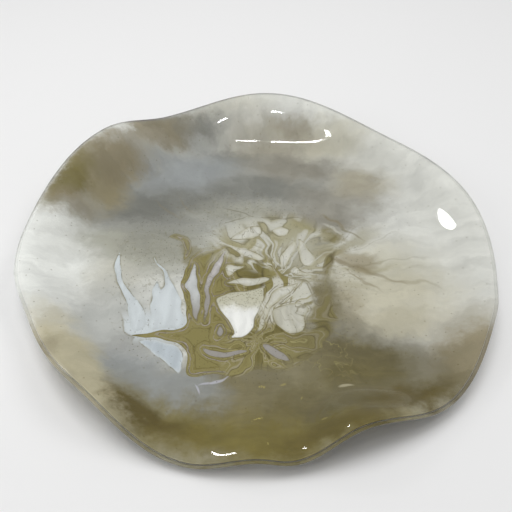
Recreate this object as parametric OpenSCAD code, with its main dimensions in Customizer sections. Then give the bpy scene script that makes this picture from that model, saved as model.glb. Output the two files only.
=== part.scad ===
// Free-form resin dish: a slumped round sheet with a flat floor and a waved rim.
// It is cast in coats: a clear base, a layer of tinted pours side by side, and a clear flood coat
// that laps round the rim. Every surface follows one profile, swept round the waved rim.

/* [Dish] */
// Radius of the dish at the rim, before the rim waves
dish_r = 156; // [145:1:175]
// Rise of the rim's underside above the table, before the rim waves
rim_rise = 17; // [14:0.5:20]
// Width of the lip where the rim lies level with the floor
lip_w = 24; // [20:1:30]
// Lip width added for each millimetre of rise
lip_gain = 0.6; // [0.5:0.05:0.8]

/* [Coats] */
// Thickness of the clear base coat
base_t = 1.4; // [1:0.1:2]
// Thickness of the layer of tinted pours
pour_t = 1; // [0.6:0.1:1.6]
// Thickness of the clear flood coat
flood_t = 1.2; // [0.8:0.1:2]
// Thickness of the whole sheet at the rim, towards which all the coats thin out
rim_t = 1.2; // [1:0.1:2.4]
// Width of the flood coat where it laps round the rim
lap_w = 1.5; // [1:0.5:6]
// Clear resin between a tinted pour and the coats
bond = 0.1; // [0.05:0.05:0.2]

/* [Swirl] */
// Flat floor left between the marbled swirl and the lip where they come closest
swirl_edge = 2.7; // [1:0.5:20]
// Swirl centre to the right of the dish centre
swirl_x = -14; // [-18:1:-4]
// Swirl centre behind the dish centre
swirl_y = -24; // [-26:1:-10]

/* [Hidden] */

// Crests and troughs of the rim, in order round the dish, and the rim eases from one to the next.
// Each is [direction, rise added in shares of rim_rise, reach added in shares of lip_w].
rim_wave = [
    [20, 0.05, 0.04],
    [44, -0.13, 0.125],
    [86, 0.93, 0.04],
    [118, 0.34, -0.04],
    [140, 0.99, -0.04],
    [180, 0.11, 0],
    [194, 0.23, -0.04],
    [210, -0.07, -0.17],
    [231, 0.23, -0.125],
    [257, -0.77, 0.17],
    [270, -0.42, 0.04],
    [276, -0.54, 0.08],
    [290, 0.23, -0.08],
    [310, -0.48, 0.21],
    [333, -0.07, 0],
    [346, -0.25, -0.04]
];

// Edges between the outer pours: [direction, sway of the edge between the swirl and the lip].
pour_edges = [
    [330, 12],
    [25, -12],
    [60, 10],
    [100, 12],
    [135, -10],
    [165, 8],
    [205, -10],
    [235, 10],
    [260, -8],
    [295, 10]
];

// Columns round the rim, and steps across the floor, the lip and the rounded rim
columns = 144;
floor_steps = 4;
lip_steps = 7;
nose_steps = 4;
// Points between two of an outline's own points
outline_steps = 6;

coat_t = base_t + pour_t + flood_t;
nose_r = rim_t / 2;
pour_low = base_t + bond;
pour_high = base_t + pour_t - bond;
pour_bed = base_t + pour_t;
column_step = 360 / columns;
full_turn = 360;
half_turn = 180;

// Radius of the swirl, which fills the floor up to swirl_edge from the lip
swirl_at = [swirl_x, swirl_y, 0];
swirl_r = min([for (i = [0:columns - 1]) norm(sheet(i * column_step, 0, 0) - swirl_at)]) - swirl_edge;

// Outlines of the swirl's pours, in shares of swirl_r from its centre.
petal_outer = [
    [-0.93, 0.22], [-0.955, 0.1], [-0.92, -0.03], [-0.86, -0.17], [-0.79, -0.32], [-0.745, -0.44], [-0.73, -0.52],
    [-0.68, -0.555], [-0.635, -0.52], [-0.625, -0.45], [-0.66, -0.35], [-0.74, -0.25], [-0.83, -0.13], [-0.89, 0.02]
];
petal_inner = [
    [-0.65, 0.17], [-0.58, 0.06], [-0.5, -0.06], [-0.44, -0.17], [-0.4, -0.27], [-0.395, -0.34], [-0.365, -0.41],
    [-0.36, -0.475], [-0.4, -0.515], [-0.5, -0.535], [-0.58, -0.545], [-0.605, -0.51], [-0.59, -0.45],
    [-0.615, -0.35], [-0.62, -0.22], [-0.595, -0.09], [-0.555, -0.17], [-0.535, -0.11], [-0.555, -0.02], [-0.61, 0.08]
];
spike = [
    [-0.33, 0.1], [-0.355, 0], [-0.375, -0.12], [-0.345, -0.2], [-0.32, -0.32], [-0.285, -0.44], [-0.26, -0.47],
    [-0.255, -0.35], [-0.28, -0.15], [-0.305, -0.02]
];
wedge = [
    [-0.65, -0.63], [-0.52, -0.645], [-0.41, -0.67], [-0.35, -0.71], [-0.335, -0.78], [-0.35, -0.9], [-0.41, -0.855],
    [-0.5, -0.775], [-0.585, -0.7]
];
heart = [
    [-0.15, -0.26], [-0.08, -0.22], [0.03, -0.195], [0.13, -0.17], [0.215, -0.155], [0.2, -0.27], [0.165, -0.39],
    [0.14, -0.49], [0.105, -0.57], [0.05, -0.61], [-0.02, -0.615], [-0.005, -0.56], [-0.04, -0.46], [-0.11, -0.35]
];
cream = [
    [0.29, -0.36], [0.365, -0.315], [0.465, -0.3], [0.53, -0.36], [0.505, -0.45], [0.48, -0.55], [0.39, -0.57],
    [0.31, -0.52], [0.275, -0.43]
];
veil = [
    [0.47, -0.11], [0.34, -0.15], [0.255, -0.24], [0.215, -0.36], [0.175, -0.5], [0.14, -0.58], [0.21, -0.5],
    [0.255, -0.37], [0.345, -0.25], [0.43, -0.17]
];
drops = [
    [[0.5, 0.38], [0.56, 0.28], [0.62, 0.18], [0.6, 0.08], [0.53, 0.07], [0.5, 0.16], [0.49, 0.27]],
    [[0.41, 0.02], [0.45, 0.075], [0.49, 0.03], [0.54, -0.01], [0.6, -0.05], [0.52, -0.035], [0.46, -0.015]]
];
leaves = [
    [[-0.005, 0.25], [0.06, 0.275], [0.14, 0.235], [0.215, 0.165], [0.185, 0.135], [0.1, 0.17], [0.03, 0.2]],
    [[-0.075, 0.08], [-0.02, 0.075], [0.05, 0.065], [0, 0.02], [-0.06, -0.03], [-0.085, 0.02]],
    [[-0.06, -0.1], [0.05, -0.06], [0.17, -0.05], [0.27, -0.06], [0.2, -0.11], [0.08, -0.13]],
    [[-0.06, 0.38], [0.02, 0.45], [0.1, 0.53], [0.19, 0.53], [0.2, 0.45], [0.12, 0.39], [0.03, 0.37]],
    [[0.46, 0.36], [0.39, 0.27], [0.345, 0.16], [0.34, 0.07], [0.38, 0.08], [0.435, 0.17], [0.47, 0.28]],
    [[0.3, 0.47], [0.36, 0.53], [0.43, 0.5], [0.41, 0.43], [0.34, 0.42]]
];
streaks = [
    [[-0.085, 0.25], [-0.15, 0.13], [-0.205, 0.02], [-0.228, -0.13], [-0.225, -0.3], [-0.205, -0.48], [-0.188, -0.33],
        [-0.193, -0.17], [-0.165, -0.05], [-0.115, 0.09]],
    [[-0.13, -0.56], [-0.095, -0.5], [-0.08, -0.55], [-0.1, -0.6]],
    [[0.2, -0.67], [0.28, -0.7], [0.35, -0.755], [0.38, -0.805], [0.31, -0.79], [0.24, -0.74]],
    [[-0.2, -0.7], [-0.06, -0.735], [0.1, -0.72], [-0.02, -0.775], [-0.14, -0.76]]
];
curl = [
    [-0.56, 0.4], [-0.5, 0.44], [-0.42, 0.41], [-0.375, 0.32], [-0.37, 0.22], [-0.405, 0.15], [-0.42, 0.26],
    [-0.455, 0.35], [-0.51, 0.375]
];
star = [
    [-0.71, -0.592], [-0.6, -0.573], [-0.5, -0.553], [-0.41, -0.536], [-0.352, -0.512], [-0.335, -0.44],
    [-0.358, -0.33], [-0.385, -0.22], [-0.408, -0.1], [-0.4, 0.02], [-0.37, 0.12], [-0.325, 0.21], [-0.25, 0.27],
    [-0.15, 0.3], [-0.06, 0.335], [0.06, 0.335], [0.17, 0.285], [0.26, 0.2], [0.3, 0.08], [0.35, -0.02],
    [0.45, -0.055], [0.54, -0.085], [0.58, -0.17], [0.585, -0.28], [0.62, -0.3], [0.645, -0.16], [0.66, 0.02],
    [0.7, 0.16], [0.8, 0.26], [0.77, 0.12], [0.735, 0], [0.715, -0.18], [0.71, -0.36], [0.76, -0.52], [0.68, -0.66],
    [0.55, -0.75], [0.43, -0.84], [0.3, -0.9], [0.16, -0.87], [0.02, -0.93], [-0.12, -0.9], [-0.24, -0.93],
    [-0.305, -0.9], [-0.305, -0.8], [-0.318, -0.715], [-0.38, -0.658], [-0.5, -0.627], [-0.62, -0.609]
];

single_cells = [petal_outer, petal_inner, spike, wedge, heart, cream, veil, curl];

// Direction brought into one turn.
function one_turn(a) = a - full_turn * floor(a / full_turn);

// Direction of the nearest column of the coats.
function on_column(a) = column_step * round(a / column_step);

// Value of one column of rim_wave in direction a, eased between its two neighbours.
function rim_ease(a, column) =
    let (
        here = one_turn(a),
        behind = [for (i = [0:len(rim_wave) - 1]) if (rim_wave[i][0] <= here) i],
        i = len(behind) > 0 ? behind[len(behind) - 1] : len(rim_wave) - 1,
        j = (i + 1) % len(rim_wave),
        span = one_turn(rim_wave[j][0] - rim_wave[i][0]),
        share = one_turn(here - rim_wave[i][0]) / span,
        ease = (1 - cos(half_turn * share)) / 2
    )
    rim_wave[i][column] * (1 - ease) + rim_wave[j][column] * ease;

// Rise of the rim, radius where its rounded edge starts, and width of the lip, in direction a.
function rise(a) = rim_rise * (1 + rim_ease(a, 1));
function edge_r(a) = dish_r + lip_w * rim_ease(a, 2) - nose_r;
function lip(a) = lip_w + lip_gain * rise(a);

// Share of the lip that lies inside the lapped rim, and the same less the bond.
function lap_start(a) = 1 - lap_w / lip(a);
function pour_end(a) = lap_start(a) - bond / lip(a);

// Share of its thickness that the sheet keeps at share t of the lip.
function thinned(t) = 1 + (rim_t / coat_t - 1) * t * t;

// Point of the sheet in direction a, at share t of the lip and height d through the coats of the floor.
// The lip climbs with an even ease, and the height is thinned and measured square to it.
function sheet(a, t, d) =
    let (
        tilt = atan2(6 * rise(a) * t * (1 - t), lip(a)),
        h = d * thinned(t),
        r = edge_r(a) - lip(a) * (1 - t) - h * sin(tilt),
        z = rise(a) * t * t * (3 - 2 * t) + h * cos(tilt)
    )
    [r * cos(a), r * sin(a), z];

// Point of the rounded rim, at angle b up its half round.
function nose(a, b) =
    let (r = edge_r(a) + nose_r * cos(b))
    [r * cos(a), r * sin(a), rise(a) + nose_r + nose_r * sin(b)];

// Point of the floor between the swirl and the lip, at share u outwards.
function apron(a, u, d) =
    let (
        near = [swirl_x, swirl_y, d] + (swirl_r + bond) * [cos(a), sin(a), 0],
        far = sheet(a, 0, d)
    )
    near * (1 - u) + far * u;

// Closed rings of the sheet: up to the lapped rim, up to the edge, and round the edge.
function lap_ring(s, d) = [for (i = [0:columns - 1]) let (a = i * column_step) sheet(a, s * lap_start(a), d)];
function edge_ring(t, d) = [for (i = [0:columns - 1]) sheet(i * column_step, t, d)];
function nose_ring(b) = [for (i = [0:columns - 1]) nose(i * column_step, b)];

// Solid between rings that follow one another, closed by its first and last ring.
module lofted(rings) {
    n = len(rings[0]);
    last = len(rings) - 1;
    points = [for (ring = rings) each ring];
    sides = [
        for (k = [0:last - 1], i = [0:n - 1])
            let (a = k * n + i, b = k * n + (i + 1) % n)
            each [[a, b, a + n], [b, b + n, a + n]]
    ];
    lower = [[for (i = [n - 1:-1:0]) i]];
    upper = [[for (i = [0:n - 1]) last * n + i]];
    polyhedron(points, concat(sides, lower, upper), convexity = 6);
}

// Solid between two grids of points of the same rows and columns, the first above the second.
// Its upper and lower faces are split along the same diagonals as the coats that they face.
module slab(above, below) {
    rows = len(above);
    cols = len(above[0]);
    under = rows * cols;
    points = concat([for (row = above) each row], [for (row = below) each row]);
    faces = [
        for (j = [0:rows - 2], i = [0:cols - 2])
            let (a = j * cols + i, b = a + 1, c = a + cols, d = c + 1)
            each [[a, b, c], [b, d, c], [a + under, c + under, d + under], [a + under, d + under, b + under]]
    ];
    ends = [
        for (i = [0:cols - 2], j = [0, rows - 1])
            let (a = j * cols + i, b = a + 1, p = j == 0 ? a : b, q = j == 0 ? b : a)
            each [[p, p + under, q], [q, p + under, q + under]]
    ];
    flanks = [
        for (j = [0:rows - 2], i = [0, cols - 1])
            let (a = j * cols + i, b = a + cols, p = i == 0 ? b : a, q = i == 0 ? a : b)
            each [[p, p + under, q], [q, p + under, q + under]]
    ];
    polyhedron(points, concat(faces, ends, flanks), convexity = 6);
}

// Outer pour number k, between two edges of pour_edges, from the swirl up to the lapped rim.
// Its columns and the rows of its lip are those of the coats, so its faces run along theirs.
module outer_pour(k) {
    from = pour_edges[k];
    to = pour_edges[(k + 1) % len(pour_edges)];
    start = on_column(from[0]);
    cols = one_turn(on_column(to[0]) - start) / column_step;
    function sway(i, u) = (from[1] * (1 - i / cols) + to[1] * i / cols) * sin(half_turn * u);
    function floor_row(u, d) = [for (i = [0:cols]) apron(start + i * column_step + sway(i, u), u, d)];
    function lip_row(s, d) =
        [for (i = [0:cols]) let (a = start + i * column_step) sheet(a, min(s * lap_start(a), pour_end(a)), d)];
    function grid(d) =
        concat(
            [for (j = [0:floor_steps - 1]) floor_row(j / floor_steps, d)],
            [for (j = [0:lip_steps]) lip_row(j / lip_steps, d)]
        );
    slab(grid(pour_high), grid(pour_low));
}

// Smooth closed outline through a list of points.
function between(p, q, r, s, t) =
    0.5 * (2 * q + (r - p) * t + (2 * p - 5 * q + 4 * r - s) * t * t + (3 * q - p - 3 * r + s) * t * t * t);
function outline(points) =
    let (n = len(points))
    [
        for (i = [0:n - 1], k = [0:outline_steps - 1])
            swirl_r * between(
                points[i], points[(i + 1) % n], points[(i + 2) % n], points[(i + 3) % n], k / outline_steps
            )
    ];

// Pours of the swirl, each outline raised by height h from the bottom of the layer of pours.
module raised(outlines, h = pour_high - pour_low) {
    translate([swirl_x, swirl_y, pour_low])
        for (points = outlines)
            linear_extrude(h)
                polygon(outline(points));
}

// Everything that was dropped into the olive star and the ground, raised through them to cut their seats.
module cell_seats() {
    translate([0, 0, -pour_t])
        raised(concat(single_cells, drops, leaves, streaks), 3 * pour_t);
}
module star_seat() {
    translate([0, 0, -pour_t])
        raised([star], 3 * pour_t);
}

// Clear base coat, from the flat underside up to the lapped rim
module base_coat() {
    color("#d9dcd6", 0.5)
        lofted(concat(
            [for (i = [0:lip_steps]) lap_ring(i / lip_steps, 0)],
            [for (i = [lip_steps:-1:0]) lap_ring(i / lip_steps, base_t)]
        ));
}

// Clear flood coat, over the pours, round the rim and back under it to the base coat
module flood_coat() {
    color("#eef0ee", 0.4)
        lofted(concat(
            [for (i = [0:lip_steps]) lap_ring(i / lip_steps, pour_bed)],
            [lap_ring(1, 0)],
            [for (i = [0:nose_steps]) nose_ring(half_turn * (i / nose_steps - 0.5))],
            [for (i = [lip_steps:-1:0]) edge_ring(i / (lip_steps + 1), coat_t)]
        ));
}

module pearl_right() { color("#c8c9c4") outer_pour(0); }
module pearl_back_right() { color("#cdcdc2") outer_pour(1); }
module taupe_back() { color("#a89f88") outer_pour(2); }
module smoke_back() { color("#9aa0a4") outer_pour(3); }
module olive_back_left() { color("#8a825a") outer_pour(4); }
module pearl_left() { color("#d7d9d2") outer_pour(5); }
module sand_left() { color("#afa587") outer_pour(6); }
module olive_front_left() { color("#857a50") outer_pour(7); }
module olive_front() { color("#776c40") outer_pour(8); }
module olive_front_right() { color("#8b8262") outer_pour(9); }

// Smoky ground of the swirl, round everything that was dropped into it
module swirl_ground() {
    color("#a9a9a6")
        difference() {
            translate([swirl_x, swirl_y, pour_low])
                cylinder(h = pour_high - pour_low, r = swirl_r, $fn = columns);
            star_seat();
            cell_seats();
        }
}

// Olive pour with its arms, round the cells that lie in it
module olive_star() {
    color("#8c8241")
        difference() {
            raised([star]);
            cell_seats();
        }
}

module white_petal_outer() { color("#d6dee6") raised([petal_outer]); }
module white_petal_inner() { color("#dde3e9") raised([petal_inner]); }
module white_spike() { color("#e4e8ea") raised([spike]); }
module white_wedge() { color("#d6dee6") raised([wedge]); }
module white_heart() { color("#ecece9") raised([heart]); }
module cream_cell() { color("#c9c8b4") raised([cream]); }
module cream_veil() { color("#d0cfbe") raised([veil]); }
module cream_drops() { color("#d2d1c0") raised(drops); }
module pearl_leaves() { color("#d8d8cf") raised(leaves); }
module lilac_streaks() { color("#aaa5b4") raised(streaks); }
module olive_curl() { color("#8a8040") raised([curl]); }

base_coat();
flood_coat();
pearl_right();
pearl_back_right();
taupe_back();
smoke_back();
olive_back_left();
pearl_left();
sand_left();
olive_front_left();
olive_front();
olive_front_right();
swirl_ground();
olive_star();
white_petal_outer();
white_petal_inner();
white_spike();
white_wedge();
white_heart();
cream_cell();
cream_veil();
cream_drops();
pearl_leaves();
lilac_streaks();
olive_curl();
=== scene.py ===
import functools
import math

import bpy
import numpy as np
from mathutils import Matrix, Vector, geometry, kdtree


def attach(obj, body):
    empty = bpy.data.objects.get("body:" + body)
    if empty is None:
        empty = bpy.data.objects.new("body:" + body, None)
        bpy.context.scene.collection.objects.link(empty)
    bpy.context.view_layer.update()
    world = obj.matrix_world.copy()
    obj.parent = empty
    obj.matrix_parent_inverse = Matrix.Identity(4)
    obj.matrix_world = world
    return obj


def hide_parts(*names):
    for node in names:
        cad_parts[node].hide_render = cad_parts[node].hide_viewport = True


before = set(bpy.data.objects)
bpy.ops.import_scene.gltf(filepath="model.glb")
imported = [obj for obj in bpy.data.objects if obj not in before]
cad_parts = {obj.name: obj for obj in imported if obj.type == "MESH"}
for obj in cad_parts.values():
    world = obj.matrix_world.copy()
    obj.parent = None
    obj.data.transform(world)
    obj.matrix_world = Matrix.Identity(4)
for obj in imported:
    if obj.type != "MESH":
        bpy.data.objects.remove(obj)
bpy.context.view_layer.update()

scene = bpy.context.scene

# Sizes of the dish, in millimetres, as its solids have them
MM = 0.001
DISH_R = 156.0
RIM_RISE = 17.0
LIP_W = 24.0
LIP_GAIN = 0.6
BASE_T = 1.4
POUR_T = 1.0
FLOOD_T = 1.2
RIM_T = 1.2
LAP_W = 1.5
BOND = 0.1
HAIR = 0.02
COAT_T = BASE_T + POUR_T + FLOOD_T
NOSE_R = RIM_T / 2 - HAIR
POUR_LOW = BASE_T + BOND
POUR_HIGH = BASE_T + POUR_T - BOND
POUR_BED = BASE_T + POUR_T
SWIRL_EDGE = 2.7
SWIRL = np.array([-14.0, -24.0])
CAD_COLUMNS = 144

# Crests and troughs of the rim: direction, rise added in shares of the rise, reach in shares of the lip
RIM_WAVE = np.array([
    (20, 0.05, 0.04), (44, -0.13, 0.125), (86, 0.93, 0.04), (118, 0.34, -0.04),
    (140, 0.99, -0.04), (180, 0.11, 0), (194, 0.23, -0.04), (210, -0.07, -0.17),
    (231, 0.23, -0.125), (257, -0.77, 0.17), (270, -0.42, 0.04), (276, -0.54, 0.08),
    (290, 0.23, -0.08), (310, -0.48, 0.21), (333, -0.07, 0), (346, -0.25, -0.04),
])

# Outer pours in order round the dish: node, direction where it starts, sway of that edge
OUTER_POURS = [
    ("pearl_right", 330, 12),
    ("pearl_back_right", 25, -12),
    ("taupe_back", 60, 10),
    ("smoke_back", 100, 12),
    ("olive_back_left", 135, -10),
    ("pearl_left", 165, 8),
    ("sand_left", 205, -10),
    ("olive_front_left", 235, 10),
    ("olive_front", 260, -8),
    ("olive_front_right", 295, 10),
]

# Outlines of the swirl's cells and star, in shares of the swirl's radius
CELLS = {
    "white_petal_outer": [[
        (-0.93, 0.22), (-0.955, 0.1), (-0.92, -0.03), (-0.86, -0.17), (-0.79, -0.32), (-0.745, -0.44),
        (-0.73, -0.52), (-0.68, -0.555), (-0.635, -0.52), (-0.625, -0.45), (-0.66, -0.35), (-0.74, -0.25),
        (-0.83, -0.13), (-0.89, 0.02),
    ]],
    "white_petal_inner": [[
        (-0.65, 0.17), (-0.58, 0.06), (-0.5, -0.06), (-0.44, -0.17), (-0.4, -0.27), (-0.395, -0.34),
        (-0.365, -0.41), (-0.36, -0.475), (-0.4, -0.515), (-0.5, -0.535), (-0.58, -0.545),
        (-0.605, -0.51), (-0.59, -0.45), (-0.615, -0.35), (-0.62, -0.22), (-0.595, -0.09),
        (-0.555, -0.17), (-0.535, -0.11), (-0.555, -0.02), (-0.61, 0.08),
    ]],
    "white_spike": [[
        (-0.33, 0.1), (-0.355, 0), (-0.375, -0.12), (-0.345, -0.2), (-0.32, -0.32), (-0.285, -0.44),
        (-0.26, -0.47), (-0.255, -0.35), (-0.28, -0.15), (-0.305, -0.02),
    ]],
    "white_wedge": [[
        (-0.65, -0.63), (-0.52, -0.645), (-0.41, -0.67), (-0.35, -0.71), (-0.335, -0.78), (-0.35, -0.9),
        (-0.41, -0.855), (-0.5, -0.775), (-0.585, -0.7),
    ]],
    "white_heart": [[
        (-0.15, -0.26), (-0.08, -0.22), (0.03, -0.195), (0.13, -0.17), (0.215, -0.155), (0.2, -0.27),
        (0.165, -0.39), (0.14, -0.49), (0.105, -0.57), (0.05, -0.61), (-0.02, -0.615), (-0.005, -0.56),
        (-0.04, -0.46), (-0.11, -0.35),
    ]],
    "cream_cell": [[
        (0.29, -0.36), (0.365, -0.315), (0.465, -0.3), (0.53, -0.36), (0.505, -0.45), (0.48, -0.55),
        (0.39, -0.57), (0.31, -0.52), (0.275, -0.43),
    ]],
    "cream_veil": [[
        (0.47, -0.11), (0.34, -0.15), (0.255, -0.24), (0.215, -0.36), (0.175, -0.5), (0.14, -0.58),
        (0.21, -0.5), (0.255, -0.37), (0.345, -0.25), (0.43, -0.17),
    ]],
    "cream_drops": [[
        (0.5, 0.38), (0.56, 0.28), (0.62, 0.18), (0.6, 0.08), (0.53, 0.07), (0.5, 0.16), (0.49, 0.27),
    ], [
        (0.41, 0.02), (0.45, 0.075), (0.49, 0.03), (0.54, -0.01), (0.6, -0.05), (0.52, -0.035),
        (0.46, -0.015),
    ]],
    "pearl_leaves": [[
        (-0.005, 0.25), (0.06, 0.275), (0.14, 0.235), (0.215, 0.165), (0.185, 0.135), (0.1, 0.17),
        (0.03, 0.2),
    ], [
        (-0.075, 0.08), (-0.02, 0.075), (0.05, 0.065), (0, 0.02), (-0.06, -0.03), (-0.085, 0.02),
    ], [
        (-0.06, -0.1), (0.05, -0.06), (0.17, -0.05), (0.27, -0.06), (0.2, -0.11), (0.08, -0.13),
    ], [
        (-0.06, 0.38), (0.02, 0.45), (0.1, 0.53), (0.19, 0.53), (0.2, 0.45), (0.12, 0.39), (0.03, 0.37),
    ], [
        (0.46, 0.36), (0.39, 0.27), (0.345, 0.16), (0.34, 0.07), (0.38, 0.08), (0.435, 0.17),
        (0.47, 0.28),
    ], [
        (0.3, 0.47), (0.36, 0.53), (0.43, 0.5), (0.41, 0.43), (0.34, 0.42),
    ]],
    "lilac_streaks": [[
        (-0.085, 0.25), (-0.15, 0.13), (-0.205, 0.02), (-0.228, -0.13), (-0.225, -0.3), (-0.205, -0.48),
        (-0.188, -0.33), (-0.193, -0.17), (-0.165, -0.05), (-0.115, 0.09),
    ], [
        (-0.13, -0.56), (-0.095, -0.5), (-0.08, -0.55), (-0.1, -0.6),
    ], [
        (0.2, -0.67), (0.28, -0.7), (0.35, -0.755), (0.38, -0.805), (0.31, -0.79), (0.24, -0.74),
    ], [
        (-0.2, -0.7), (-0.06, -0.735), (0.1, -0.72), (-0.02, -0.775), (-0.14, -0.76),
    ]],
    "olive_curl": [[
        (-0.56, 0.4), (-0.5, 0.44), (-0.42, 0.41), (-0.375, 0.32), (-0.37, 0.22), (-0.405, 0.15),
        (-0.42, 0.26), (-0.455, 0.35), (-0.51, 0.375),
    ]],
}
STAR = [
    (-0.71, -0.592), (-0.6, -0.573), (-0.5, -0.553), (-0.41, -0.536), (-0.352, -0.512), (-0.335, -0.44),
    (-0.358, -0.33), (-0.385, -0.22), (-0.408, -0.1), (-0.4, 0.02), (-0.37, 0.12), (-0.325, 0.21),
    (-0.25, 0.27), (-0.15, 0.3), (-0.06, 0.335), (0.06, 0.335), (0.17, 0.285), (0.26, 0.2), (0.3, 0.08),
    (0.35, -0.02), (0.45, -0.055), (0.54, -0.085), (0.58, -0.17), (0.585, -0.28), (0.62, -0.3),
    (0.645, -0.16), (0.66, 0.02), (0.7, 0.16), (0.8, 0.26), (0.77, 0.12), (0.735, 0), (0.715, -0.18),
    (0.71, -0.36), (0.76, -0.52), (0.68, -0.66), (0.55, -0.75), (0.43, -0.84), (0.3, -0.9), (0.16, -0.87),
    (0.02, -0.93), (-0.12, -0.9), (-0.24, -0.93), (-0.305, -0.9), (-0.305, -0.8), (-0.318, -0.715),
    (-0.38, -0.658), (-0.5, -0.627), (-0.62, -0.609),
]

# Fineness of the meshes: columns round the dish, rows across each stretch, grid on the swirl in mm
COLUMNS = 360
FLOOR_ROWS = 24
LIP_ROWS = 24
NOSE_ROWS = 12
SANDED_ROWS = 2
BED_ROWS = 10
POUR_FLOOR_ROWS = 14
OUTLINE_STEPS = 16
SWIRL_COLUMNS = 240
SHARP_TURN = math.radians(50)
STAR_GRID = 1.3
GROUND_GRID = 1.6

# Share of the grid kept free along an outline, and distance in mm at which points merge
GRID_CLEARANCE = 0.35
MERGE = 1e-6

# Shares of the lap and of the floor at which the underside has rings
UNDER_SHARES = (0.33, 0.67, 1)
REST_SHARES = (0.5, 0.9)

# Unevenness of the top coat and of the swirl's outlines, in mm, and where it fades: mm, share of the swirl
SWELL_SLOW = 0.05
SWELL_QUICK = 0.02
SWELL_FADE = 14.0
DRIFT_WIDE = 0.5
DRIFT_FINE = 0.3
DRIFT_FADE = 0.2

# Tints of the resin and of what runs through it
TINTS = {
    "milk": (236, 238, 235), "pearl": (219, 220, 215), "ivory": (196, 195, 184),
    "cream": (197, 194, 176), "mist": (182, 184, 181), "ash": (163, 164, 161),
    "fog": (160, 160, 148), "slate": (150, 154, 155), "smoke": (127, 128, 122),
    "soot": (106, 107, 101), "dusk": (142, 139, 128), "shade": (148, 144, 138),
    "sand": (188, 181, 154), "taupe": (152, 144, 119), "umber": (136, 126, 98),
    "ochre": (152, 141, 106), "moss": (116, 106, 54), "bark": (92, 81, 38),
    "drab": (122, 115, 86), "loden": (102, 95, 66), "gilt": (176, 163, 96),
    "lilac": (190, 190, 202), "khaki": (142, 134, 92), "reed": (122, 115, 78),
    "straw": (150, 142, 94), "sage": (138, 130, 82), "fern": (124, 117, 74),
    "vein": (94, 85, 48), "seam": (100, 90, 50), "peat": (84, 76, 44),
    "skim": (206, 213, 217), "whey": (140, 136, 112), "thread": (118, 111, 76),
    "grit": (88, 84, 66), "bisque": (186, 184, 162), "pepper": (104, 98, 70),
    "dust": (92, 88, 76), "outline": (114, 107, 76), "leaf_outline": (108, 101, 66),
}

# Tinted clouds, laid one over another: tint, x, y, half widths, turn, density, strength
CLOUDS = [
    ("milk", -152, -14, 48, 68, 0, 0.97, 1.0),
    ("pearl", 132, 12, 64, 105, 0, 0.86, 0.9),
    ("ivory", 62, 108, 60, 40, 0, 0.88, 0.4),
    ("fog", -72, 4, 58, 30, 0, 0.95, 1.0),
    ("smoke", -56, 58, 74, 50, 8, 0.95, 1.0),
    ("smoke", -98, 44, 34, 26, 25, 0.95, 0.9),
    ("smoke", -64, 129, 50, 18, 12, 0.94, 1.0),
    ("smoke", -18, 106, 42, 15, -4, 0.95, 0.9),
    ("soot", -82, 48, 26, 18, 10, 0.95, 0.6),
    ("slate", -54, 84, 44, 26, 12, 0.95, 1.0),
    ("smoke", 16, 66, 48, 25, -8, 0.95, 1.0),
    ("fog", -6, 36, 42, 15, 0, 0.95, 0.9),
    ("dusk", 44, 30, 40, 16, -8, 0.95, 1.0),
    ("dusk", 60, 49, 38, 21, -10, 0.95, 0.85),
    ("dusk", 30, 94, 46, 22, -8, 0.94, 1.0),
    ("cream", 62, 121, 28, 18, 0, 0.90, 0.75),
    ("ochre", -120, 60, 22, 28, 35, 0.94, 0.85),
    ("umber", -108, 79, 24, 16, 40, 0.94, 0.95),
    ("umber", -87, 115, 40, 18, 28, 0.94, 0.8),
    ("moss", -138, 49, 13, 29, -23, 0.97, 0.95),
    ("umber", -132, 32, 18, 12, -20, 0.95, 0.7),
    ("fog", -105, 6, 17, 14, 0, 0.95, 0.8),
    ("taupe", 12, 122, 46, 16, -4, 0.92, 0.6),
    ("umber", 28, 132, 24, 10, -4, 0.93, 0.5),
    ("ivory", -20, 143, 36, 11, 6, 0.88, 0.9),
    ("milk", -110, 107, 13, 8, 45, 0.80, 0.7),
    ("taupe", 80, 71, 27, 21, -8, 0.94, 0.75),
    ("cream", 84, -30, 44, 40, 0, 0.94, 0.9),
    ("sand", 92, -46, 46, 18, -8, 0.95, 0.3),
    ("sand", 88, -64, 40, 13, -4, 0.95, 0.6),
    ("ivory", -96, -28, 22, 25, 0, 0.94, 0.8),
    ("mist", -86, -68, 38, 40, 30, 0.95, 0.9),
    ("ash", -72, -88, 28, 26, 30, 0.95, 0.7),
    ("slate", -64, -104, 34, 16, -25, 0.95, 1.0),
    ("milk", -132, -42, 22, 30, 0, 0.97, 0.7),
    ("sand", -108, -98, 42, 20, -52, 0.95, 1.0),
    ("taupe", -117, -95, 9, 14, 35, 0.96, 0.9),
    ("moss", 47, 15, 17, 7, -24, 0.96, 0.9),
    ("umber", 67, -12, 22, 10, -14, 0.96, 0.7),
    ("taupe", 57, -52, 13, 24, -6, 0.96, 0.7),
    ("drab", 43, -47, 13, 30, -6, 0.97, 1.0),
    ("moss", -46, -10, 7, 18, 12, 0.96, 0.6),
    ("umber", 118, -96, 36, 24, 40, 0.96, 0.95),
    ("loden", 56, -93, 58, 32, -2, 0.98, 1.0),
    ("moss", 4, -136, 130, 40, 0, 0.98, 1.0),
    ("drab", -12, -110, 44, 22, -4, 0.98, 1.0),
    ("loden", 52, -118, 48, 14, 10, 0.98, 0.9),
    ("drab", 8, -90, 34, 13, 0, 0.97, 0.9),
    ("slate", -46, -107, 32, 12, -14, 0.97, 0.8),
    ("bark", -64, -129, 32, 11, -26, 0.98, 1.0),
    ("bark", 78, -122, 36, 12, 22, 0.98, 1.0),
    ("bark", 36, -142, 34, 9, 10, 0.98, 0.6),
    ("sand", -90, -117, 36, 9, -48, 0.95, 0.85),
]

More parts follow.
